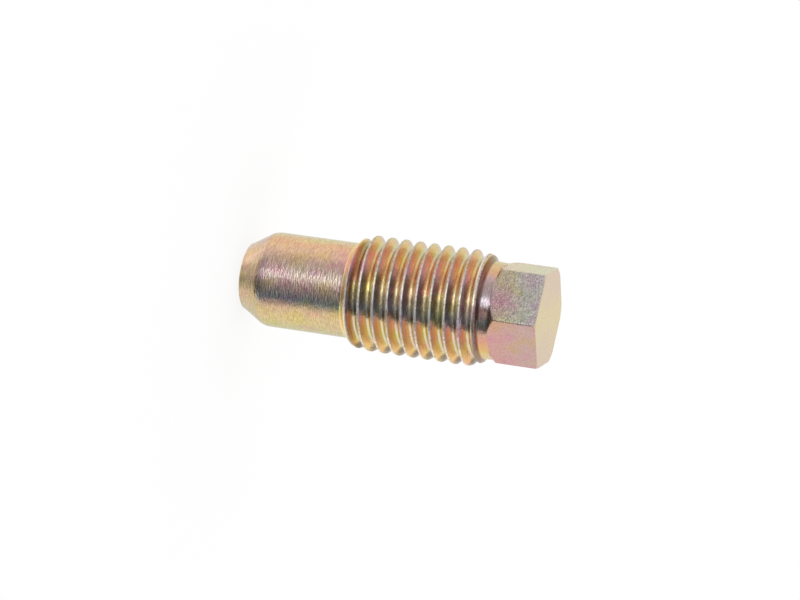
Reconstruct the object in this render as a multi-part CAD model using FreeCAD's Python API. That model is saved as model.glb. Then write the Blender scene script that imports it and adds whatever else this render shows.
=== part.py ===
import FreeCAD, Part
import math
import os

# Screw plug: one piece of steel, turned from bar, with a rolled M12 x 1.5 thread.
# It stands on the flat of its tip. From the bottom up it has a chamfered tip, a plain
# pilot, the thread, a turned neck, and a hexagon for a 10 mm spanner.
# Millimetres, +Z up, the origin in the middle of the tip's flat.

# Driving dimensions: lengths along the axis
tip_chamfer_length = 2.5
tip_edge_break = 0.2
pilot_length = 11.3
thread_length = 14.7
crest_taper_length = 1.4
neck_length = 1.0
shoulder_length = 0.7
hexagon_length = 5.0

# Driving dimensions: diameters and what is cut from the hexagon
tip_flat_diameter = 7.0
pilot_diameter = 9.8
neck_diameter_at_thread = 10.0
neck_diameter_at_hexagon = 9.88
hex_blank_diameter = 11.0
hex_across_flats = 9.6
end_chamfer_width = 0.35
end_chamfer_angle = 30.0

# Driving dimensions: the thread, and the way round that it is turned to
thread_major_diameter = 11.85
thread_pitch = 1.5
thread_turn_angle = 89.0
thread_face_angle = 60.0

# The groove follows the metric 60 degree form, with its flats as shares of the pitch.
flank_angle = math.radians(30.0)
crest_flat = thread_pitch / 8.0
root_flat = thread_pitch / 5.0
cutter_overshoot = 0.05

# Values worked out from the driving dimensions
tip_radius = tip_flat_diameter / 2.0
pilot_radius = pilot_diameter / 2.0
neck_radius_at_thread = neck_diameter_at_thread / 2.0
neck_radius_at_hexagon = neck_diameter_at_hexagon / 2.0
hex_corner_radius = hex_blank_diameter / 2.0
major_radius = thread_major_diameter / 2.0
root_radius = major_radius - (thread_pitch - crest_flat - root_flat) / 2.0 / math.tan(flank_angle)
rolling_blank_radius = (major_radius + root_radius) / 2.0
thread_start = pilot_length
thread_end = pilot_length + thread_length
neck_end = thread_end + neck_length
overall_length = neck_end + hexagon_length

ORIGIN = FreeCAD.Vector(0.0, 0.0, 0.0)
Z_AXIS = FreeCAD.Vector(0.0, 0.0, 1.0)


def point(radius, height):
    """A point of a half section, which is drawn in the XZ plane."""
    return FreeCAD.Vector(radius, 0.0, height)


def turned_blank():
    """The piece as it leaves the lathe, before the thread is rolled and the flats are milled."""
    # Each end of the thread has a steep face up to the rolling blank, and beyond it a slow
    # taper on which the crests grow to their full height.
    face_slope = math.tan(math.radians(thread_face_angle))
    start_face_end = thread_start + (rolling_blank_radius - pilot_radius) / face_slope
    end_face_start = thread_end - (rolling_blank_radius - neck_radius_at_thread) / face_slope
    # The neck ends in the cone of the hexagon's shoulder.
    end_chamfer_length = end_chamfer_width * math.tan(math.radians(end_chamfer_angle))
    outline = Part.makePolygon([
        point(0.0, 0.0),
        point(tip_radius - tip_edge_break, 0.0),
        point(tip_radius, tip_edge_break),
        point(pilot_radius, tip_chamfer_length),
        point(pilot_radius, thread_start),
        point(rolling_blank_radius, start_face_end),
        point(major_radius, start_face_end + crest_taper_length),
        point(major_radius, end_face_start - crest_taper_length),
        point(rolling_blank_radius, end_face_start),
        point(neck_radius_at_thread, thread_end),
        point(neck_radius_at_hexagon, neck_end),
        point(hex_corner_radius, neck_end + shoulder_length),
        point(hex_corner_radius, overall_length - end_chamfer_length),
        point(hex_corner_radius - end_chamfer_width, overall_length),
        point(0.0, overall_length),
        point(0.0, 0.0),
    ])
    return Part.Face(outline).revolve(ORIGIN, Z_AXIS, 360.0).Solids[0]


def turned_helix(radius, height, lift, angle):
    """One edge of a right-hand helix, at a height of its own and turned about the axis."""
    helix = Part.makeHelix(thread_pitch, height, radius)
    helix.rotate(ORIGIN, Z_AXIS, angle)
    helix.translate(FreeCAD.Vector(0.0, 0.0, lift))
    return helix.Edges[0]


def thread_groove():
    """The helical groove as a solid, bounded by ruled faces between the helices of its corners."""
    outer_radius = major_radius + cutter_overshoot
    outer_half_width = (thread_pitch - crest_flat) / 2.0 + cutter_overshoot * math.tan(flank_angle)
    root_half_width = root_flat / 2.0
    corners = [
        (outer_radius, -outer_half_width),
        (root_radius, -root_half_width),
        (root_radius, root_half_width),
        (outer_radius, outer_half_width),
    ]

    # It starts and ends over the pilot and the neck, which lie below its root.
    # Each of its pieces is just under one turn.
    groove_start = thread_start - thread_pitch / 2.0
    groove_length = thread_end + neck_length / 2.0 - groove_start
    pieces = math.ceil(groove_length / thread_pitch)
    piece_height = groove_length / pieces
    piece_angle = 360.0 * piece_height / thread_pitch

    faces = []
    for piece in range(pieces):
        rails = []
        for radius, offset in corners:
            lift = groove_start + offset + piece * piece_height
            angle = thread_turn_angle + piece * piece_angle
            rails.append(turned_helix(radius, piece_height, lift, angle))
        for rail, next_rail in zip(rails, rails[1:] + rails[:1]):
            faces += Part.makeRuledSurface(rail, next_rail).Faces

    for pieces_before in (0, pieces):
        lift = groove_start + pieces_before * piece_height
        outline = Part.makePolygon([point(radius, lift + offset) for radius, offset in corners + corners[:1]])
        outline.rotate(ORIGIN, Z_AXIS, thread_turn_angle + pieces_before * piece_angle)
        faces.append(Part.Face(outline))

    shell = Part.makeShell(faces)
    shell.sewShape()
    groove = Part.makeSolid(shell)
    if groove.Volume < 0.0:
        groove.reverse()
    return groove


def milled_flats():
    """What the milling of the six flats takes away: a ring with a hexagonal hole."""
    hex_circumradius = hex_across_flats / 2.0 / math.cos(math.radians(30.0))
    corners = []
    for index in range(7):
        angle = math.radians(60.0 * index)
        corner_x = hex_circumradius * math.cos(angle)
        corner_y = hex_circumradius * math.sin(angle)
        corners.append(FreeCAD.Vector(corner_x, corner_y, neck_end))
    hexagon = Part.Face(Part.makePolygon(corners)).extrude(FreeCAD.Vector(0.0, 0.0, hexagon_length))
    ring_radius = hex_circumradius + hex_corner_radius
    ring = Part.makeCylinder(ring_radius, hexagon_length, FreeCAD.Vector(0.0, 0.0, neck_end))
    return ring.cut(hexagon)


def screw_plug():
    """The finished piece: the turned blank less the groove and less the flats."""
    threaded = turned_blank().cut(thread_groove())
    return threaded.cut(milled_flats()).Solids[0]


if __name__ == "__main__":
    os.makedirs("parts", exist_ok=True)
    plug = screw_plug()
    print("valid", plug.isValid(), "solids", len(plug.Solids), "faces", len(plug.Faces))
    print("volume in cubic millimetres", round(plug.Volume, 3))
    plug.exportStep("parts/screw_plug.step")
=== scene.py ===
import math

import bmesh
import bpy
import numpy as np
from mathutils import Matrix, Vector


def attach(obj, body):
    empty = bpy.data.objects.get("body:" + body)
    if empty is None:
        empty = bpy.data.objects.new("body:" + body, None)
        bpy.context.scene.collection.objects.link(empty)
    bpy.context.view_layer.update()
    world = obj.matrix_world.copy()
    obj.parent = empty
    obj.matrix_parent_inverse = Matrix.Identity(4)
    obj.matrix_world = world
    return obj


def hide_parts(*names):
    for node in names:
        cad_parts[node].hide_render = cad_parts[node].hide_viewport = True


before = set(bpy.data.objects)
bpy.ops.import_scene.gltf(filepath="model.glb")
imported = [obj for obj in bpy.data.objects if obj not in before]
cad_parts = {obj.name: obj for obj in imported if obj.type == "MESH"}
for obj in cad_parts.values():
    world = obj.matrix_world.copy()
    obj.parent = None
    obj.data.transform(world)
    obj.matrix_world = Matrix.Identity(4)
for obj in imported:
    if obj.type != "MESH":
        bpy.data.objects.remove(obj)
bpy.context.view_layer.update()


# Screw plug of yellow-passivated steel, standing on the flat of its tip, in metres.
# The sizes are those of the solid that this piece stands for. Small roundings and a softer
# slope up to the first crest are added to them here.
MM = 0.001
OVERALL_LENGTH = 32.0 * MM
TIP_RADIUS = 3.5 * MM
TIP_EDGE_BREAK = 0.2 * MM
TIP_CHAMFER_LENGTH = 2.5 * MM
PILOT_RADIUS = 4.9 * MM
PILOT_EDGE_ROUNDING = 0.25 * MM
THREAD_START = 11.3 * MM
THREAD_END = 26.0 * MM
THREAD_FACE_SLOPE = math.tan(math.radians(60.0))
CREST_TAPER_LENGTH = 1.4 * MM
NECK_RADIUS_AT_THREAD = 5.0 * MM
NECK_RADIUS_AT_HEXAGON = 4.94 * MM
NECK_END = 27.0 * MM
SHOULDER_LENGTH = 0.7 * MM
HEX_CORNER_RADIUS = 5.5 * MM
HEX_APOTHEM = 4.8 * MM
END_CHAMFER_WIDTH = 0.35 * MM
END_CHAMFER_SLOPE = math.tan(math.radians(30.0))
END_EDGE_ROUNDING = 0.07 * MM

# The slope up to the first crest: heights above the thread's start, and the rise at its bend
START_SLOPE_FOOT = 0.1 * MM
START_SLOPE_BEND = 0.25 * MM
START_SLOPE_BEND_RISE = 0.08 * MM
START_SLOPE_TOP = 0.75 * MM

# The thread: a right-hand 60 degree form with a flat crest and a flat root
PITCH = 1.5 * MM
MAJOR_RADIUS = 5.925 * MM
CREST_FLAT = PITCH / 8.0
ROOT_FLAT = PITCH / 5.0
FLANK_SLOPE = math.tan(math.radians(30.0))
ROOT_RADIUS = MAJOR_RADIUS - (PITCH - CREST_FLAT - ROOT_FLAT) / 2.0 / FLANK_SLOPE
BLANK_RADIUS = (MAJOR_RADIUS + ROOT_RADIUS) / 2.0
GROOVE_TURN_ANGLE = math.radians(89.0)
# The height of the groove's middle on the X axis, in its first turn
FIRST_GROOVE_MIDDLE = THREAD_START - PITCH / 2.0 - PITCH * GROOVE_TURN_ANGLE / (2.0 * math.pi)
ROOT_SOFTNESS = 0.16 * MM
CREST_SOFTNESS = 0.05 * MM
EDGE_SOFTNESS = 0.05 * MM

# The mesh's columns: even ones, and those on both sides of each corner of the hexagon
EVEN_COLUMNS = 216
CORNER_COLUMNS = np.radians([-0.9, -0.4, 0.4, 0.9])

# The rows that follow the thread: heights above the groove's middle, and the zone that they fill
HALF_PITCH_ROWS = np.array([0.0, 0.07, 0.12, 0.16, 0.21, 0.27, 0.38, 0.49, 0.59, 0.635, 0.665, 0.7]) * MM
HELICAL_ZONE = (11.0 * MM, 26.4 * MM)

# The level rows: shares of a radius, numbers of rows, and heights where closer rows start
TIP_FLAT_SHARES = (0.25, 0.5, 0.75, 0.95)
TIP_EDGE_ROWS = 5
CHAMFER_ROWS = 9
CHAMFER_ROWS_START = 0.32 * MM
PILOT_EDGE_ROWS = 8
PILOT_EDGE_SHARES = (-0.75, 1.0)
PILOT_ROWS = 19
PILOT_ROWS_START = 3.1 * MM
NECK_ROWS = 3
SHOULDER_ROWS = 22
HEXAGON_ROWS = 10
HEXAGON_END_ROWS = 10
HEXAGON_END_START = 31.6 * MM
END_EDGE_ROWS = 4
END_FACE_SHARES = (0.97, 0.85, 0.6, 0.3)
WELD_DISTANCE = 0.0005 * MM


def soft_min(a, b, softness):
    """The smaller of two radii, with the corner between them rounded over."""
    overlap = np.maximum(softness - np.abs(a - b), 0.0) / softness
    return np.minimum(a, b) - overlap ** 2 * softness / 4.0


def soft_max(a, b, softness):
    """The larger of two radii, with the corner between them filled."""
    return -soft_min(-a, -b, softness)


def groove_radius(angle, height):
    """The radius of the thread's own form at an angle and a height: crest, flanks and root."""
    groove_middle = FIRST_GROOVE_MIDDLE + PITCH * angle / (2.0 * math.pi)
    offset = np.abs((height - groove_middle + PITCH / 2.0) % PITCH - PITCH / 2.0)
    flank = ROOT_RADIUS + (offset - ROOT_FLAT / 2.0) / FLANK_SLOPE
    return soft_min(soft_max(flank, ROOT_RADIUS, ROOT_SOFTNESS), MAJOR_RADIUS, CREST_SOFTNESS)


def blank_radius(height):
    """The turned blank's radius at a height above the tip's chamfer."""
    steep_face_end = THREAD_START + (BLANK_RADIUS - PILOT_RADIUS) / THREAD_FACE_SLOPE
    end_face_start = THREAD_END - (BLANK_RADIUS - NECK_RADIUS_AT_THREAD) / THREAD_FACE_SLOPE
    chamfer_start = OVERALL_LENGTH - END_CHAMFER_WIDTH * END_CHAMFER_SLOPE
    stations = [
        (THREAD_START + START_SLOPE_FOOT, PILOT_RADIUS),
        (THREAD_START + START_SLOPE_BEND, PILOT_RADIUS + START_SLOPE_BEND_RISE),
        (THREAD_START + START_SLOPE_TOP, BLANK_RADIUS),
        (steep_face_end + CREST_TAPER_LENGTH, MAJOR_RADIUS),
        (end_face_start - CREST_TAPER_LENGTH, MAJOR_RADIUS),
        (end_face_start, BLANK_RADIUS),
        (THREAD_END, NECK_RADIUS_AT_THREAD),
        (NECK_END, NECK_RADIUS_AT_HEXAGON),
        (NECK_END + SHOULDER_LENGTH, HEX_CORNER_RADIUS),
        (chamfer_start, HEX_CORNER_RADIUS),
        (OVERALL_LENGTH, HEX_CORNER_RADIUS - END_CHAMFER_WIDTH),
    ]
    heights, radii = zip(*stations)
    return np.interp(height, heights, radii)


def hexagon_radius(angle):
    """The distance from the axis to the flats. The corners lie on the X axis and every 60 degrees."""
    from_flat = (angle % math.radians(60.0)) - math.radians(30.0)
    return HEX_APOTHEM / np.cos(from_flat)


def column_angles():
    """Even columns, and four more close to each corner of the hexagon."""
    even = np.arange(EVEN_COLUMNS) * 2.0 * math.pi / EVEN_COLUMNS
    near_corners = [math.radians(60.0 * corner) + CORNER_COLUMNS for corner in range(6)]
    return np.unique(np.concatenate([even] + near_corners) % (2.0 * math.pi))


def helical_rows(angles):
    """Heights at each column of rows that climb one pitch a turn, and how many there are in a pitch."""
    one_pitch = np.sort(np.concatenate([HALF_PITCH_ROWS, PITCH - HALF_PITCH_ROWS[1:], [PITCH / 2.0]]))
    low, high = HELICAL_ZONE
    # The rows reach past the zone at both ends, and what lies outside it is moved onto its limits.
    turns = range(-2, math.ceil((high - FIRST_GROOVE_MIDDLE) / PITCH) + 2)
    starts = np.concatenate([FIRST_GROOVE_MIDDLE + turn * PITCH + one_pitch for turn in turns])
    climb = PITCH * angles / (2.0 * math.pi)
    return np.clip(starts[:, None] + climb[None, :], low, high), len(one_pitch)


def tip_and_pilot_rows():
    """Radii and heights from near the middle of the tip's flat outwards, and up to the thread."""
    chamfer_angle = math.atan2(PILOT_RADIUS - TIP_RADIUS, TIP_CHAMFER_LENGTH - TIP_EDGE_BREAK)
    chamfer_slope = math.tan(chamfer_angle)

    def chamfer_radius(height):
        return PILOT_RADIUS - (TIP_CHAMFER_LENGTH - height) * chamfer_slope

    rows = [(share * (TIP_RADIUS - TIP_EDGE_BREAK), 0.0) for share in TIP_FLAT_SHARES]
    for turn in np.linspace(0.0, math.pi / 2.0 - chamfer_angle, TIP_EDGE_ROWS):
        radius = TIP_RADIUS - TIP_EDGE_BREAK * (1.0 - math.sin(turn))
        rows.append((radius, TIP_EDGE_BREAK * (1.0 - math.cos(turn))))
    for height in np.linspace(CHAMFER_ROWS_START, TIP_CHAMFER_LENGTH - PILOT_EDGE_ROUNDING, CHAMFER_ROWS):
        rows.append((chamfer_radius(height), height))
    softness = 2.0 * PILOT_EDGE_ROUNDING * chamfer_slope
    for share in np.linspace(*PILOT_EDGE_SHARES, PILOT_EDGE_ROWS):
        height = TIP_CHAMFER_LENGTH + share * PILOT_EDGE_ROUNDING
        rows.append((float(soft_min(chamfer_radius(height), PILOT_RADIUS, softness)), height))
    for height in np.linspace(PILOT_ROWS_START, HELICAL_ZONE[0], PILOT_ROWS + 1)[:-1]:
        rows.append((PILOT_RADIUS, height))
    return rows


def neck_and_hexagon_rows(angles):
    """Radii and heights of the neck, the shoulder and the hexagon, then of the end face inwards."""
    rounding_start = OVERALL_LENGTH - END_EDGE_ROUNDING
    shoulder_end = NECK_END + SHOULDER_LENGTH
    spans = [
        (HELICAL_ZONE[1], NECK_END, NECK_ROWS),
        (NECK_END, shoulder_end, SHOULDER_ROWS),
        (shoulder_end, HEXAGON_END_START, HEXAGON_ROWS),
        (HEXAGON_END_START, rounding_start, HEXAGON_END_ROWS),
    ]
    heights = [np.linspace(start, end, count + 1)[1:] for start, end, count in spans]
    turns = np.linspace(0.0, math.pi / 2.0, END_EDGE_ROWS + 1)[1:]
    heights.append(rounding_start + np.sin(turns) * END_EDGE_ROUNDING)

    flats = hexagon_radius(angles)
    rows = []
    for height in np.concatenate(heights):
        edge = np.full(len(angles), float(blank_radius(height)))
        if height > NECK_END:
            past = max(height - rounding_start, 0.0)
            rounded_off = END_EDGE_ROUNDING - math.sqrt(max(END_EDGE_ROUNDING ** 2 - past ** 2, 0.0))
            edge = soft_min(edge, flats, EDGE_SOFTNESS) - rounded_off
        rows.append((edge, height))
    rows += [(edge * share, OVERALL_LENGTH) for share in END_FACE_SHARES]
    return rows


def screw_plug_mesh():
    """The whole piece as one closed skin, from the tip up."""
    angles = column_angles()
    cosines = np.cos(angles)
    sines = np.sin(angles)
    mesh = bmesh.new()

    def ring(radius, height):
        """A row of vertices round the axis, with its first one once more at its end."""
        radii = np.broadcast_to(radius, len(angles))
        heights = np.broadcast_to(height, len(angles))
        row = [mesh.verts.new((r * c, r * s, z)) for r, c, s, z in zip(radii, cosines, sines, heights)]
        return row + row[:1]

    def join(rows):
        """Faces between each row and the next one."""
        for lower, upper in zip(rows, rows[1:]):
            for here, beside, above, across in zip(lower, lower[1:], upper, upper[1:]):
                mesh.faces.new((here, beside, across, above))

    bottom = mesh.verts.new((0.0, 0.0, 0.0))
    below = [ring(radius, height) for radius, height in tip_and_pilot_rows()]
    for here, beside in zip(below[0], below[0][1:]):
        mesh.faces.new((bottom, beside, here))

    # Each row of the thread ends at the start of the row that lies one pitch further up.
    heights, rows_per_pitch = helical_rows(angles)
    radii = soft_min(blank_radius(heights), groove_radius(angles, heights), CREST_SOFTNESS)
    thread = [ring(radius, height) for radius, height in zip(radii, heights)]
    join([row[:-1] + further_up[:1] for row, further_up in zip(thread, thread[rows_per_pitch:])])
    join(below + thread[:1])

    above = [ring(radius, height) for radius, height in neck_and_hexagon_rows(angles)]
    join(thread[-1:] + above)
    top = mesh.verts.new((0.0, 0.0, OVERALL_LENGTH))
    for here, beside in zip(above[-1], above[-1][1:]):
        mesh.faces.new((top, here, beside))

    bmesh.ops.remove_doubles(mesh, verts=mesh.verts, dist=WELD_DISTANCE)
    for face in mesh.faces:
        face.smooth = True
    data = bpy.data.meshes.new("screw_plug_skin")
    mesh.to_mesh(data)
    mesh.free()
    return data


# Directions of the photograph in the part's own axes
PHOTO_UP_ANGLE = math.radians(-160.27)
PHOTO_UP = Vector((math.cos(PHOTO_UP_ANGLE), math.sin(PHOTO_UP_ANGLE), 0.0))
PHOTO_FRONT = Vector((math.sin(-PHOTO_UP_ANGLE), math.cos(PHOTO_UP_ANGLE), 0.0))
AXIS = Vector((0.0, 0.0, 1.0))


def add_node(tree, kind, inputs=(), **settings):
    """Adds a node, sets its settings, and links or sets its inputs by name or number."""
    node = tree.nodes.new(kind)
    for name, value in settings.items():
        setattr(node, name, value)
    for name, value in dict(inputs).items():
        if isinstance(value, bpy.types.NodeSocket):
            tree.links.new(value, node.inputs[name])
        else:
            node.inputs[name].default_value = value
    return node


def calculate(tree, operation, *values):
    """A maths node's result."""
    node = add_node(tree, "ShaderNodeMath", {i: v for i, v in enumerate(values)}, operation=operation)
    return node.outputs[0]


def dot(tree, vector, direction):
    """The share of a vector that lies along a fixed direction."""
    node = add_node(tree, "ShaderNodeVectorMath", {0: vector, 1: direction}, operation="DOT_PRODUCT")
    return node.outputs["Value"]


def ramp(tree, value, stops):
    """A colour ramp with the given stops, each a position and a colour."""
    node = add_node(tree, "ShaderNodeValToRGB", {"Fac": value})
    elements = node.color_ramp.elements
    while len(elements) < len(stops):
        elements.new(0.5)
    for element, (position, colour) in zip(elements, stops):
        element.position = position
        element.color = (*colour, 1.0)
    return node.outputs["Color"]


def blend(tree, share, first, second):
    """A mix of two colours: the first where the share is 0, the second where it is 1."""
    node = add_node(tree, "ShaderNodeMix", {"Factor": share}, data_type="RGBA")
    # The node's sockets for colours, which share their names with those for numbers and vectors
    for socket, value in ((node.inputs[6], first), (node.inputs[7], second)):
        if isinstance(value, bpy.types.NodeSocket):
            tree.links.new(value, socket)
        else:
            socket.default_value = (*value, 1.0)
    return node.outputs[2]


def vector_math(tree, operation, first, second):
    """A vector maths node's result."""
    node = add_node(tree, "ShaderNodeVectorMath", {0: first, 1: second}, operation=operation)
    return node.outputs["Vector"]


def spread_ramp(tree, value, table, reach, divisor=1.0):
    """A ramp from a table of places, from -reach at the value 0 to reach at 1, and colours or levels."""
    stops = []
    for place, colour in table:
        if isinstance(colour, float):
            colour = (colour,) * 3
        stops.append((place / reach * 0.5 + 0.5, [part / divisor for part in colour]))
    return ramp(tree, value, stops)


def azimuth_share(tree, vector):
    """The angle of a vector around the axis, from 0 to 1, with 0.5 towards the camera and 0.75 photo-up."""
    angle = calculate(tree, "ARCTAN2", dot(tree, vector, PHOTO_UP), dot(tree, vector, PHOTO_FRONT))
    return calculate(tree, "MULTIPLY_ADD", angle, 0.5 / math.pi, 0.5)


def rising(tree, value, start, end):
    """A share that goes from 0 at the start to 1 at the end, which may be the smaller of the two."""
    inputs = {"Value": value, "From Min": start, "From Max": end}
    return add_node(tree, "ShaderNodeMapRange", inputs).outputs["Result"]


def within(tree, value, band):
    """A share that rises over the first two values of a band and falls over its last two."""
    start, full, fading, end = band
    return calculate(tree, "MULTIPLY", rising(tree, value, start, full), rising(tree, value, end, fading))


# The studio as the metal sees it: degrees from the camera's side towards photo-up, and colours
STUDIO_LIGHT = [
    (-180.0, (0.85, 0.85, 0.85)), (-160.0, (0.92, 0.92, 0.92)), (-115.0, (1.0, 1.0, 1.0)),
    (-58.0, (1.0, 1.0, 1.0)), (-54.5, (0.12, 0.145, 0.18)), (-40.0, (0.17, 0.20, 0.25)),
    (-24.0, (0.28, 0.30, 0.34)), (-10.0, (0.40, 0.40, 0.41)), (4.0, (0.54, 0.54, 0.54)),
    (9.0, (1.1, 1.1, 1.1)), (17.0, (1.1, 1.1, 1.1)), (22.0, (0.64, 0.64, 0.64)), (30.0, (0.56, 0.56, 0.56)),
    (48.0, (0.54, 0.54, 0.54)), (62.0, (0.70, 0.70, 0.70)), (78.0, (1.0, 1.0, 1.0)),
    (115.0, (1.0, 1.0, 1.0)), (160.0, (0.92, 0.92, 0.92)), (180.0, (0.85, 0.85, 0.85)),
]
# How far that light also follows the direction's height: fully on the camera's side, and not behind
FRONT_SHARE = [(-180.0, 0.0), (-58.0, 0.0), (-52.0, 1.0), (28.0, 1.0), (68.0, 0.0), (180.0, 0.0)]
# What it is multiplied by there, by the direction's share along the axis
FRONT_BY_HEIGHT = [
    (-1.0, (0.9, 0.9, 0.9)), (-0.88, (0.8, 0.8, 0.8)), (-0.76, (0.41, 0.46, 0.53)),
    (-0.56, (0.41, 0.46, 0.53)), (-0.4, (0.72, 0.74, 0.76)), (-0.28, (0.98, 0.98, 0.98)),
    (-0.2, (1.08, 1.08, 1.08)), (-0.13, (1.4, 1.4, 1.4)), (-0.05, (2.6, 2.6, 2.6)), (0.08, (2.6, 2.6, 2.6)),
    (0.22, (1.3, 1.3, 1.3)), (0.4, (1.0, 1.0, 1.0)), (1.0, (1.0, 1.0, 1.0)),
]
# How far the light straight above and below the part is a light of its own, by the same share
POLE_SHARE = [(-1.0, 1.0), (-0.975, 0.8), (-0.93, 0.0), (0.96, 0.0), (1.0, 0.6)]
POLE_LIGHT = (0.62, 0.62, 0.62)
# The brightest level in these tables, by which the ramps' colours are divided
BRIGHTEST = 2.6
CAMERA_WHITE = (1.0, 1.0, 1.0)


def build_world():
    """A white room for the camera, and soft light with a darker side behind the camera for the metal."""
    world = bpy.data.worlds.new("studio")
    bpy.context.scene.world = world
    world.use_nodes = True
    tree = world.node_tree
    tree.nodes.clear()
    direction = add_node(tree, "ShaderNodeTexCoord").outputs["Generated"]
    around = azimuth_share(tree, direction)
    height = calculate(tree, "MULTIPLY_ADD", dot(tree, direction, AXIS), 0.5, 0.5)
    ring = spread_ramp(tree, around, STUDIO_LIGHT, 180.0, BRIGHTEST)
    front = spread_ramp(tree, around, FRONT_SHARE, 180.0)
    by_height = spread_ramp(tree, height, FRONT_BY_HEIGHT, 1.0, BRIGHTEST)
    factor = blend(tree, front, (1.0 / BRIGHTEST,) * 3, by_height)
    level = vector_math(tree, "MULTIPLY", ring, factor)
    # Both ramps were divided by the brightest level.
    level = vector_math(tree, "MULTIPLY", level, (BRIGHTEST ** 2,) * 3)
    light = blend(tree, spread_ramp(tree, height, POLE_SHARE, 1.0), level, POLE_LIGHT)
    rays = add_node(tree, "ShaderNodeLightPath")
    colour = blend(tree, rays.outputs["Is Camera Ray"], light, CAMERA_WHITE)
    background = add_node(tree, "ShaderNodeBackground", {"Color": colour})
    output = add_node(tree, "ShaderNodeOutputWorld")
    tree.links.new(background.outputs["Background"], output.inputs["Surface"])


# The floor: its size in metres, how strongly it glows, and how much of it is matt and takes shadow
FLOOR_HALF_WIDTH = 3.0
FLOOR_GLOW = 1.05
FLOOR_MATT_SHARE = 0.2


def build_floor():
    """A wide pale floor that keeps a faint shadow."""
    data = bpy.data.meshes.new("floor")
    half = FLOOR_HALF_WIDTH
    corner_points = [(-half, -half, 0.0), (half, -half, 0.0), (half, half, 0.0), (-half, half, 0.0)]
    data.from_pydata(corner_points, [], [(0, 1, 2, 3)])
    floor = bpy.data.objects.new("floor", data)
    bpy.context.scene.collection.objects.link(floor)
    material = bpy.data.materials.new("floor_white")
    material.use_nodes = True
    tree = material.node_tree
    tree.nodes.clear()
    white = (1.0, 1.0, 1.0, 1.0)
    glow = add_node(tree, "ShaderNodeEmission", {"Color": white, "Strength": FLOOR_GLOW})
    matt = add_node(tree, "ShaderNodeBsdfDiffuse", {"Color": white})
    both = add_node(tree, "ShaderNodeMixShader", {"Fac": FLOOR_MATT_SHARE})
    tree.links.new(glow.outputs[0], both.inputs[1])
    tree.links.new(matt.outputs[0], both.inputs[2])
    output = add_node(tree, "ShaderNodeOutputMaterial")
    tree.links.new(both.outputs[0], output.inputs["Surface"])
    data.materials.append(material)
    floor.visible_glossy = False


# The camera: the photograph's view, with the tip to the left and the hexagon to the right
LENS = 129.8
SENSOR_WIDTH = 36.0
CAMERA_DISTANCE = 294.08 * MM
AXIS_POINT_HEIGHT = 15.8 * MM
AXIS_POINT_OFFSET = (-0.482 * MM, 0.360 * MM)
AXIS_DROP = math.radians(8.137)
AXIS_LEAN = math.radians(16.063)
CLIP_START = 0.01
CLIP_END = 20.0


def build_camera():
    """The camera, placed by how the part's axis lies in the photograph."""
    right = (
        PHOTO_UP * math.sin(AXIS_DROP)
        - PHOTO_FRONT * math.sin(AXIS_LEAN) * math.cos(AXIS_DROP)
        + AXIS * math.cos(AXIS_LEAN) * math.cos(AXIS_DROP)
    )
    up = (
        PHOTO_UP * math.cos(AXIS_DROP)
        + PHOTO_FRONT * math.sin(AXIS_LEAN) * math.sin(AXIS_DROP)
        - AXIS * math.cos(AXIS_LEAN) * math.sin(AXIS_DROP)
    )
    back = PHOTO_FRONT * math.cos(AXIS_LEAN) + AXIS * math.sin(AXIS_LEAN)
    offset_right, offset_up = AXIS_POINT_OFFSET
    place = AXIS * AXIS_POINT_HEIGHT - right * offset_right - up * offset_up + back * CAMERA_DISTANCE
    data = bpy.data.cameras.new("camera")
    data.lens = LENS
    data.sensor_width = SENSOR_WIDTH
    data.clip_start = CLIP_START
    data.clip_end = CLIP_END
    camera = bpy.data.objects.new("camera", data)
    turned = Matrix((right, up, back)).transposed().to_4x4()
    camera.matrix_world = Matrix.Translation(place) @ turned
    bpy.context.scene.collection.objects.link(camera)
    bpy.context.scene.camera = camera


# The film's colour on each kind of surface, by degrees from the camera's side towards photo-up. Several
# tables also hold painted reflections and painted shade, as darker bands and lighter streaks at fixed
# angles.
# Turned surfaces: film colour, partly painted reflection, a slightly darker band near -21 degrees and a
# lighter streak near 7 to 13 degrees
TURNED_FILM_AND_PAINTED_REFLECTION = [
    (-180.0, (0.66, 0.56, 0.38)), (-150.0, (0.72, 0.52, 0.34)), (-120.0, (0.64, 0.55, 0.31)),
    (-85.0, (0.54, 0.50, 0.28)), (-68.0, (0.61, 0.54, 0.28)), (-50.0, (0.70, 0.54, 0.29)),
    (-38.0, (0.67, 0.49, 0.28)), (-29.0, (0.56, 0.43, 0.27)), (-21.0, (0.50, 0.48, 0.39)),
    (-9.0, (0.62, 0.45, 0.34)), (1.0, (0.65, 0.48, 0.40)), (7.0, (0.73, 0.60, 0.50)),
    (13.0, (0.76, 0.59, 0.49)), (22.0, (0.73, 0.52, 0.41)), (33.0, (0.70, 0.46, 0.34)),
    (42.0, (0.71, 0.46, 0.31)), (52.0, (0.74, 0.50, 0.27)), (62.0, (0.71, 0.55, 0.26)),
    (75.0, (0.65, 0.57, 0.32)), (95.0, (0.64, 0.59, 0.34)), (125.0, (0.72, 0.54, 0.30)),
    (150.0, (0.73, 0.50, 0.35)), (180.0, (0.66, 0.56, 0.38)),
]
CHAMFER_FILM = [
    (-180.0, (0.68, 0.54, 0.36)), (-80.0, (0.50, 0.48, 0.28)), (-60.0, (0.56, 0.50, 0.29)),
    (-40.0, (0.62, 0.51, 0.30)), (-18.0, (0.60, 0.46, 0.25)), (0.0, (0.62, 0.47, 0.29)),
    (14.0, (0.78, 0.58, 0.34)), (32.0, (0.80, 0.53, 0.41)), (48.0, (0.71, 0.50, 0.37)),
    (66.0, (0.66, 0.56, 0.42)), (90.0, (0.66, 0.60, 0.45)), (180.0, (0.68, 0.54, 0.36)),
]
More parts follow.
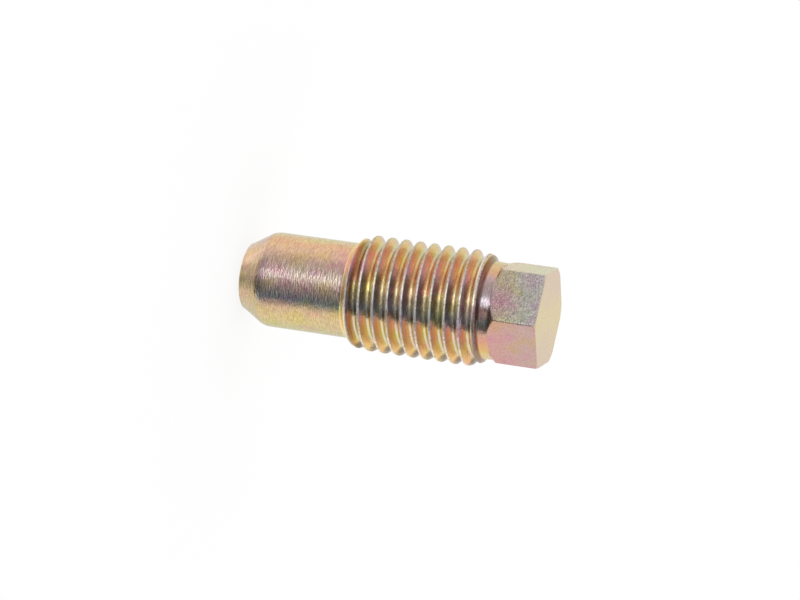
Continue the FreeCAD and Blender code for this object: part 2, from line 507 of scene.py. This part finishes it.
# The neck: film colour with painted reflection, a dark band from -23 to -1 degrees and a painted highlight
# at 11 degrees
NECK_FILM_AND_PAINTED_REFLECTION = [
    (-180.0, (0.66, 0.50, 0.34)), (-70.0, (0.74, 0.57, 0.24)), (-55.0, (0.75, 0.45, 0.19)),
    (-38.0, (0.69, 0.41, 0.25)), (-30.0, (0.67, 0.41, 0.31)), (-23.0, (0.27, 0.20, 0.16)),
    (-16.0, (0.28, 0.26, 0.21)), (-8.0, (0.40, 0.26, 0.20)), (-1.0, (0.26, 0.17, 0.15)),
    (5.0, (0.48, 0.42, 0.44)), (11.0, (0.70, 0.61, 0.65)), (16.0, (0.42, 0.34, 0.35)),
    (24.0, (0.49, 0.37, 0.35)), (32.0, (0.50, 0.37, 0.37)), (41.0, (0.59, 0.38, 0.38)),
    (51.0, (0.68, 0.39, 0.33)), (62.0, (0.70, 0.47, 0.23)), (85.0, (0.65, 0.58, 0.31)),
    (180.0, (0.66, 0.50, 0.34)),
]
# The upper flank: film colour with painted reflection and painted shade, dark olive near -92 degrees, a
# dark band near 0 to 8 degrees and a light streak near -16 degrees
UPPER_FLANK_FILM_AND_PAINTED_REFLECTION = [
    (-180.0, (0.66, 0.50, 0.30)), (-120.0, (0.60, 0.46, 0.26)), (-92.0, (0.34, 0.28, 0.14)),
    (-82.0, (0.60, 0.46, 0.18)), (-74.0, (0.94, 0.70, 0.23)), (-62.0, (0.79, 0.56, 0.19)),
    (-44.0, (0.71, 0.46, 0.19)), (-31.0, (0.78, 0.44, 0.23)), (-24.0, (0.82, 0.54, 0.41)),
    (-16.0, (0.72, 0.76, 0.70)), (-8.0, (0.66, 0.64, 0.55)), (0.0, (0.45, 0.38, 0.29)),
    (8.0, (0.36, 0.27, 0.22)), (16.0, (0.57, 0.40, 0.33)), (24.0, (0.82, 0.56, 0.53)),
    (32.0, (0.85, 0.50, 0.42)), (41.0, (0.86, 0.46, 0.29)), (50.0, (0.80, 0.42, 0.19)),
    (62.0, (0.73, 0.52, 0.18)), (74.0, (0.80, 0.68, 0.26)), (100.0, (0.66, 0.58, 0.32)),
    (180.0, (0.66, 0.50, 0.30)),
]
# What the upper flank's film is multiplied by, by millimetres from the groove's middle:
# mauve near the crest, then red, and its own colour near the root
FLANK_TINT = [
    (-0.66, (0.52, 0.49, 0.62)), (-0.55, (0.66, 0.61, 0.78)), (-0.40, (0.88, 0.66, 0.68)),
    (-0.27, (1.0, 1.0, 1.0)),
]
# The same towards and behind the part's outline, as the camera sees it, where the change is weaker
OUTER_FLANK_TINT = [
    (-0.66, (0.90, 0.84, 0.90)), (-0.55, (0.94, 0.86, 1.0)), (-0.40, (0.97, 0.75, 0.72)),
    (-0.27, (0.86, 0.90, 0.88)),
]
# The root: film colour with painted reflection, a dark line at -27 degrees and lighter gold near 10 to 17
# degrees
ROOT_FILM_AND_PAINTED_REFLECTION = [
    (-180.0, (0.66, 0.56, 0.36)), (-75.0, (0.72, 0.62, 0.40)), (-50.0, (0.71, 0.67, 0.47)),
    (-33.0, (0.78, 0.68, 0.43)), (-27.0, (0.32, 0.28, 0.20)), (-16.0, (0.54, 0.47, 0.37)),
    (-6.0, (0.68, 0.57, 0.42)), (4.0, (0.68, 0.59, 0.38)), (10.0, (0.80, 0.68, 0.42)),
    (17.0, (0.84, 0.58, 0.30)), (24.0, (0.76, 0.44, 0.22)), (32.0, (0.67, 0.38, 0.20)),
    (42.0, (0.69, 0.47, 0.24)), (60.0, (0.61, 0.53, 0.31)), (90.0, (0.58, 0.54, 0.37)),
    (180.0, (0.66, 0.56, 0.36)),
]
LOWER_FLANK_FILM = [
    (-180.0, (0.76, 0.66, 0.52)), (-60.0, (0.80, 0.74, 0.58)), (-10.0, (0.88, 0.80, 0.66)),
    (10.0, (0.92, 0.84, 0.66)), (40.0, (0.80, 0.74, 0.60)), (180.0, (0.76, 0.66, 0.52)),
]
# The crest: film colour with a painted highlight, near white from -15 to 18 degrees, and a darker dip at
# -23 degrees
CREST_FILM_AND_PAINTED_HIGHLIGHT = [
    (-180.0, (0.62, 0.56, 0.46)), (-70.0, (0.92, 0.76, 0.60)), (-50.0, (0.82, 0.70, 0.60)),
    (-33.0, (0.68, 0.57, 0.51)), (-23.0, (0.64, 0.54, 0.42)), (-15.0, (1.0, 0.94, 0.76)),
    (-4.0, (1.0, 0.96, 0.80)), (8.0, (1.0, 0.90, 0.72)), (18.0, (0.98, 0.88, 0.76)),
    (27.0, (0.76, 0.66, 0.56)), (38.0, (0.58, 0.49, 0.42)), (55.0, (0.57, 0.49, 0.42)),
    (80.0, (0.57, 0.50, 0.43)), (180.0, (0.62, 0.56, 0.46)),
]
HEXAGON_FILM = [
    (-180.0, (0.68, 0.56, 0.44)), (-140.0, (0.66, 0.56, 0.40)), (-100.0, (0.68, 0.54, 0.36)),
    (-60.0, (0.64, 0.40, 0.36)), (-25.0, (0.64, 0.40, 0.36)), (0.0, (0.60, 0.53, 0.47)),
    (40.0, (0.60, 0.53, 0.47)), (62.0, (0.72, 0.65, 0.39)), (110.0, (0.72, 0.65, 0.39)),
    (150.0, (0.70, 0.54, 0.40)), (180.0, (0.68, 0.56, 0.44)),
]
# The end face's film at its edge and in its middle, and the film of the blush on the hexagon
END_FACE_FILM = ((0.76, 0.58, 0.42), (0.80, 0.65, 0.33))
BLUSH_FILM = (0.58, 0.38, 0.36)

# What the film is multiplied by: painted shade in the groove on the side that is lowest as the camera sees
# it, a tint on the slope up to the first crest, painted shade on the first flank and on the last crest's
# end, and the rosy and the golden patches
GROOVE_PAINTED_SHADE = (0.40, 0.35, 0.24)
START_TINT = (1.4, 1.42, 0.95)
FIRST_FLANK_PAINTED_SHADE = (0.62, 0.55, 0.48)
LAST_CREST_PAINTED_SHADE = (0.42, 0.35, 0.33)
ROSY_TINT = (1.02, 0.87, 1.03)
GOLDEN_TINT = (0.99, 1.01, 0.78)
# The same on the hexagon, at the neck and at the end
HEXAGON_TINTS = ((1.0, 0.92, 0.91), (0.92, 1.0, 0.99))

# Where one film passes into the next, as heights in millimetres
CHAMFER_TO_PILOT = (2.35, 2.55)
PILOT_MARKS_FADE = (11.3, 11.1)
PILOT_TO_START = (11.35, 11.5)
START_TO_THREAD = (12.0, 12.1)
THREAD_TO_NECK = (25.7, 26.0)
NECK_TO_HEXAGON = (26.98, 27.02)
HEXAGON_GRAIN_START = (27.0, 27.2)
HEXAGON_GLITTER_START = (27.0, 27.4)
HEXAGON_TINT_CHANGE = (27.6, 30.6)
END_FACE_START = (31.0, 31.5)
# Bands of height, in which a share rises over the first two values and falls over the last two
CREST_BAND = (11.4, 11.7, 25.7, 26.0)
# The band of painted shade on the first flank
FIRST_FLANK_PAINTED_SHADE_BAND = (12.2, 12.3, 12.7, 13.0)
# The band of painted shade on the last crest's end, beside the neck
LAST_CREST_PAINTED_SHADE_BAND = (25.45, 25.6, 25.95, 26.08)
# The same across the groove, as millimetres from its middle
CREST_TO_UPPER_FLANK = (-0.70, -0.63)
UPPER_FLANK_TO_ROOT = (-0.22, -0.14)
ROOT_TO_LOWER_FLANK = (0.18, 0.30)
LOWER_FLANK_TO_CREST = (0.60, 0.65)
CREST_GLITTER_START = (0.60, 0.68)
# Where the painted shade on the groove's lowest side lies across the groove
GROOVE_PAINTED_SHADE_ACROSS = (-0.58, -0.42, 0.1, 0.3)
# The same around the part, in shares of a turn: away from the camera's side both ways, and as
# azimuth_share counts them
OUTER_START = (0.14, 0.175)
# Where that painted shade lies around the part
GROOVE_PAINTED_SHADE_AROUND = (0.18, 0.21, 0.265, 0.292)

# Noises over places in millimetres: the stretch along X, Y and Z, the scale and the detail
DRIFT_NOISE = ((1.0, 1.0, 1.0), 0.35, 2.0)
PATCH_NOISE = ((1.0, 1.0, 1.0), 0.6, 3.0)
MOTTLE_NOISE = ((1.0, 1.0, 2.0), 3.0, 2.0)
TURNING_NOISE = ((1.3, 1.3, 5.5), 1.3, 4.0)
CLOUD_NOISE = ((0.5, 0.5, 0.35), 1.0, 4.0)
GLITTER_NOISE = ((1.0, 1.0, 1.0), 5.5, 4.0)
GRAIN_NOISE = ((1.0, 1.0, 1.6), 5.5, 3.0)

# How far the film's colours wander around the part, as shares of a turn
DRIFT_WANDER = 0.06
MOTTLE_WANDER = 0.03
# The lathe's feed marks on the pilot: their spacing in millimetres, how they waver, and their strength
FEED_SPACING = 0.24
FEED_WAVER = 4.0
FEED_STRENGTH = 0.05
# Noise levels between which the rosy and the golden patches come in
ROSY_LEVELS = (0.02, 0.14)
GOLDEN_LEVELS = (-0.02, -0.14)
# The blush on the hexagon: its middle, how far it reaches, how it strays and how strong it is
BLUSH_PLACE = PHOTO_FRONT * 4.8 + PHOTO_UP * 1.0 + AXIS * 28.2
BLUSH_REACH = (1.9, 0.5)
BLUSH_STRAY = 3.0
BLUSH_STRENGTH = 0.8
# The end face's film: distances from the middle between which it changes, and how they stray
END_FACE_CHANGE = (3.6, 0.2)
END_FACE_STRAY = 6.0
# The side of the hexagon with the most painted glints, which is the one towards the camera
GLINTING_FACE_ANGLE = math.radians(19.0)
GLINTING_FACE = PHOTO_FRONT * math.cos(GLINTING_FACE_ANGLE) + PHOTO_UP * math.sin(GLINTING_FACE_ANGLE)
# How far a normal has to point along the axis, or out of that side, for a point to belong to it
FACING_END = (0.8, 0.95)
FACING_GLINTING_FACE = (0.7, 0.95)
# Painted glints, roughness and bump: the level everywhere, and what is added to it in places
GLITTER = 0.5
CREST_GLITTER_ADDED = 1.9
GLINTING_FACE_GLITTER_ADDED = 0.9
ROUGHNESS = 0.17
CREST_ROUGHNESS_ADDED = 0.2
BUMP = 1.0
PILOT_BUMP_ADDED = 0.08
END_FACE_BUMP_ADDED = -0.6
BUMP_DISTANCE = 0.045 * MM
SPECULAR_TINT = (1.0, 0.98, 0.94, 1.0)


def film_ramp(tree, share, table):
    """The film's colour from a table of degrees and colours."""
    return spread_ramp(tree, share, table, 180.0)


def tinted(tree, share, film, tint):
    """A film that is multiplied by a tint where the share is 1."""
    return blend(tree, share, film, vector_math(tree, "MULTIPLY", film, tint))


def noise(tree, place, stretch, scale, detail):
    """Noise from -0.5 to 0.5, finer along the directions that are stretched."""
    inputs = {"Vector": vector_math(tree, "MULTIPLY", place, stretch), "Scale": scale, "Detail": detail}
    factor = add_node(tree, "ShaderNodeTexNoise", inputs).outputs["Fac"]
    return calculate(tree, "SUBTRACT", factor, 0.5)


def distance_in_groove(tree, place, height):
    """Millimetres along the axis from the middle of the thread's groove, up to half a pitch each way."""
    x_place = dot(tree, place, (1.0, 0.0, 0.0))
    y_place = dot(tree, place, (0.0, 1.0, 0.0))
    turn = calculate(tree, "ARCTAN2", y_place, x_place)
    pitch = PITCH / MM
    unwound = calculate(tree, "MULTIPLY_ADD", turn, -pitch / (2.0 * math.pi), height)
    from_first = calculate(tree, "SUBTRACT", unwound, FIRST_GROOVE_MIDDLE / MM)
    return calculate(tree, "WRAP", from_first, pitch / 2.0, -pitch / 2.0)


def thread_film(tree, around, in_groove):
    """The film from one crest over the upper flank, which faces the hexagon, and on to the next crest, with
    painted reflections and painted shade in the groove.
    """
    from_camera_side = calculate(tree, "ABSOLUTE", calculate(tree, "SUBTRACT", around, 0.5))
    outer = rising(tree, from_camera_side, *OUTER_START)
    across = calculate(tree, "MULTIPLY_ADD", in_groove, 0.5, 0.5)
    outer_tint = spread_ramp(tree, across, OUTER_FLANK_TINT, 1.0)
    tint = blend(tree, outer, spread_ramp(tree, across, FLANK_TINT, 1.0), outer_tint)
    upper_flank = vector_math(tree, "MULTIPLY", film_ramp(tree, around, UPPER_FLANK_FILM_AND_PAINTED_REFLECTION), tint)
    root = film_ramp(tree, around, ROOT_FILM_AND_PAINTED_REFLECTION)
    lower_flank = film_ramp(tree, around, LOWER_FLANK_FILM)
    crest = film_ramp(tree, around, CREST_FILM_AND_PAINTED_HIGHLIGHT)

    film = blend(tree, rising(tree, in_groove, *CREST_TO_UPPER_FLANK), crest, upper_flank)
    film = blend(tree, rising(tree, in_groove, *UPPER_FLANK_TO_ROOT), film, root)
    film = blend(tree, rising(tree, in_groove, *ROOT_TO_LOWER_FLANK), film, lower_flank)
    # Painted shade in the groove, on the side that is lowest as the camera sees it
    painted_shade_around = within(tree, around, GROOVE_PAINTED_SHADE_AROUND)
    painted_shade_across = within(tree, in_groove, GROOVE_PAINTED_SHADE_ACROSS)
    film = tinted(tree, calculate(tree, "MULTIPLY", painted_shade_around, painted_shade_across), film, GROOVE_PAINTED_SHADE)
    return blend(tree, rising(tree, in_groove, *LOWER_FLANK_TO_CREST), film, crest)


def shank_film(tree, around, height, in_groove):
    """The film of the tip's chamfer, the pilot, the thread and the neck, with painted shade on the first
    flank and on the last crest's end.
    """
    turned = film_ramp(tree, around, TURNED_FILM_AND_PAINTED_REFLECTION)
    start = vector_math(tree, "MULTIPLY", turned, START_TINT)
    thread = thread_film(tree, around, in_groove)
    # Painted shade darkens the first flank
    thread = tinted(tree, within(tree, height, FIRST_FLANK_PAINTED_SHADE_BAND), thread, FIRST_FLANK_PAINTED_SHADE)

    film = film_ramp(tree, around, CHAMFER_FILM)
    film = blend(tree, rising(tree, height, *CHAMFER_TO_PILOT), film, turned)
    film = blend(tree, rising(tree, height, *PILOT_TO_START), film, start)
    film = blend(tree, rising(tree, height, *START_TO_THREAD), film, thread)
    film = blend(tree, rising(tree, height, *THREAD_TO_NECK), film, film_ramp(tree, around, NECK_FILM_AND_PAINTED_REFLECTION))
    # Painted shade on the last crest's end, beside the neck
    return tinted(tree, within(tree, height, LAST_CREST_PAINTED_SHADE_BAND), film, LAST_CREST_PAINTED_SHADE)


def hexagon_film(tree, normal, place, height, patches):
    """The film of the hexagon's sides, with a blush on the one towards the camera."""
    tint = blend(tree, rising(tree, height, *HEXAGON_TINT_CHANGE), *HEXAGON_TINTS)
    film = film_ramp(tree, azimuth_share(tree, normal), HEXAGON_FILM)
    film = vector_math(tree, "MULTIPLY", film, tint)
    away = vector_math(tree, "SUBTRACT", place, BLUSH_PLACE)
    distance = add_node(tree, "ShaderNodeVectorMath", {0: away}, operation="LENGTH").outputs["Value"]
    distance = calculate(tree, "MULTIPLY_ADD", patches, BLUSH_STRAY, distance)
    blush = calculate(tree, "MULTIPLY", rising(tree, distance, *BLUSH_REACH), BLUSH_STRENGTH)
    return blend(tree, blush, film, BLUSH_FILM)


def end_face_film(tree, place, patches):
    """The film of the end face, which changes from its middle towards photo-up and photo-down."""
    from_middle = calculate(tree, "ABSOLUTE", dot(tree, place, PHOTO_UP))
    from_middle = calculate(tree, "MULTIPLY_ADD", patches, END_FACE_STRAY, from_middle)
    return blend(tree, rising(tree, from_middle, *END_FACE_CHANGE), *END_FACE_FILM)


def passivated_steel():
    """Zinc with a yellow passivation film, whose colour shifts around the part and along it, with painted
    reflections, painted shade and painted glints in that colour.
    """
    material = bpy.data.materials.new("yellow_zinc_steel")
    material.use_nodes = True
    tree = material.node_tree
    shader = tree.nodes["Principled BSDF"]
    coordinates = add_node(tree, "ShaderNodeTexCoord")
    normal = coordinates.outputs["Normal"]
    to_millimetres = {"Vector": coordinates.outputs["Object"], "Scale": 1.0 / MM}
    place = add_node(tree, "ShaderNodeVectorMath", to_millimetres, operation="SCALE").outputs["Vector"]
    height = dot(tree, place, AXIS)
    in_groove = distance_in_groove(tree, place, height)

    # The share of the turn wanders, so that the film's colours don't change along straight lines.
    patches = noise(tree, place, *PATCH_NOISE)
    mottle = noise(tree, place, *MOTTLE_NOISE)
    wander = calculate(tree, "MULTIPLY", mottle, MOTTLE_WANDER)
    wander = calculate(tree, "MULTIPLY_ADD", noise(tree, place, *DRIFT_NOISE), DRIFT_WANDER, wander)
    around = calculate(tree, "ADD", azimuth_share(tree, place), wander)
    film = shank_film(tree, around, height, in_groove)

    # Feed marks and streaks on the pilot
    turning = noise(tree, place, *TURNING_NOISE)
    feed = calculate(tree, "MULTIPLY", height, 2.0 * math.pi / FEED_SPACING)
    feed = calculate(tree, "SINE", calculate(tree, "MULTIPLY_ADD", mottle, FEED_WAVER, feed))
    streaks = calculate(tree, "MULTIPLY_ADD", feed, FEED_STRENGTH, turning)
    on_pilot = rising(tree, height, *PILOT_MARKS_FADE)
    film = vector_math(tree, "MULTIPLY", film, calculate(tree, "MULTIPLY_ADD", streaks, on_pilot, 1.0))

    # The hexagon's sides, then rosy and golden patches on all but the end face
    sides = hexagon_film(tree, normal, place, height, patches)
    film = blend(tree, rising(tree, height, *NECK_TO_HEXAGON), film, sides)
    clouds = noise(tree, place, *CLOUD_NOISE)
    film = tinted(tree, rising(tree, clouds, *ROSY_LEVELS), film, ROSY_TINT)
    film = tinted(tree, rising(tree, clouds, *GOLDEN_LEVELS), film, GOLDEN_TINT)
    facing_end = rising(tree, dot(tree, normal, AXIS), *FACING_END)
    on_end = calculate(tree, "MULTIPLY", facing_end, rising(tree, height, *END_FACE_START))
    film = blend(tree, on_end, film, end_face_film(tree, place, patches))

    # Painted glints: fine speckle in the colour for the glitter of the zinc's crystals, strongest on the
    # crests and on the hexagon's side towards the camera
    on_crest = rising(tree, calculate(tree, "ABSOLUTE", in_groove), *CREST_GLITTER_START)
    on_crest = calculate(tree, "MULTIPLY", on_crest, within(tree, height, CREST_BAND))
    on_glinting_face = rising(tree, dot(tree, normal, GLINTING_FACE), *FACING_GLINTING_FACE)
    on_hexagon = rising(tree, height, *HEXAGON_GLITTER_START)
    on_glinting_face = calculate(tree, "MULTIPLY", on_hexagon, on_glinting_face)
    strength = calculate(tree, "MULTIPLY_ADD", on_crest, CREST_GLITTER_ADDED, GLITTER)
    strength = calculate(tree, "MULTIPLY_ADD", on_glinting_face, GLINTING_FACE_GLITTER_ADDED, strength)
    glitter = calculate(tree, "MULTIPLY_ADD", noise(tree, place, *GLITTER_NOISE), strength, 1.0)
    film = vector_math(tree, "MULTIPLY", film, glitter)
    roughness = calculate(tree, "MULTIPLY_ADD", on_crest, CREST_ROUGHNESS_ADDED, ROUGHNESS)
    tree.links.new(film, shader.inputs["Base Color"])
    tree.links.new(roughness, shader.inputs["Roughness"])
    shader.inputs["Metallic"].default_value = 1.0
    shader.inputs["Specular Tint"].default_value = SPECULAR_TINT

    # Turning marks run round the part. The hexagon has a coarser grain, which is weaker on the end face.
    turning_depth = calculate(tree, "MULTIPLY_ADD", on_pilot, PILOT_BUMP_ADDED, BUMP)
    grain_depth = calculate(tree, "MULTIPLY_ADD", on_end, END_FACE_BUMP_ADDED, BUMP)
    marks = {
        "Factor": rising(tree, height, *HEXAGON_GRAIN_START),
        "A": calculate(tree, "MULTIPLY", turning, turning_depth),
        "B": calculate(tree, "MULTIPLY", noise(tree, place, *GRAIN_NOISE), grain_depth),
    }
    relief = add_node(tree, "ShaderNodeMix", marks).outputs["Result"]
    bump = add_node(tree, "ShaderNodeBump", {"Height": relief, "Distance": BUMP_DISTANCE, "Strength": 1.0})
    tree.links.new(bump.outputs["Normal"], shader.inputs["Normal"])
    return material


def build_plug():
    """The dressed part, which stands for the CAD solid."""
    data = screw_plug_mesh()
    data.materials.append(passivated_steel())
    plug = bpy.data.objects.new("plug_skin", data)
    bpy.context.scene.collection.objects.link(plug)
    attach(plug, "root")
    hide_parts("screw_plug")


bpy.context.scene.view_settings.view_transform = "Standard"
build_camera()
build_world()
build_floor()
build_plug()
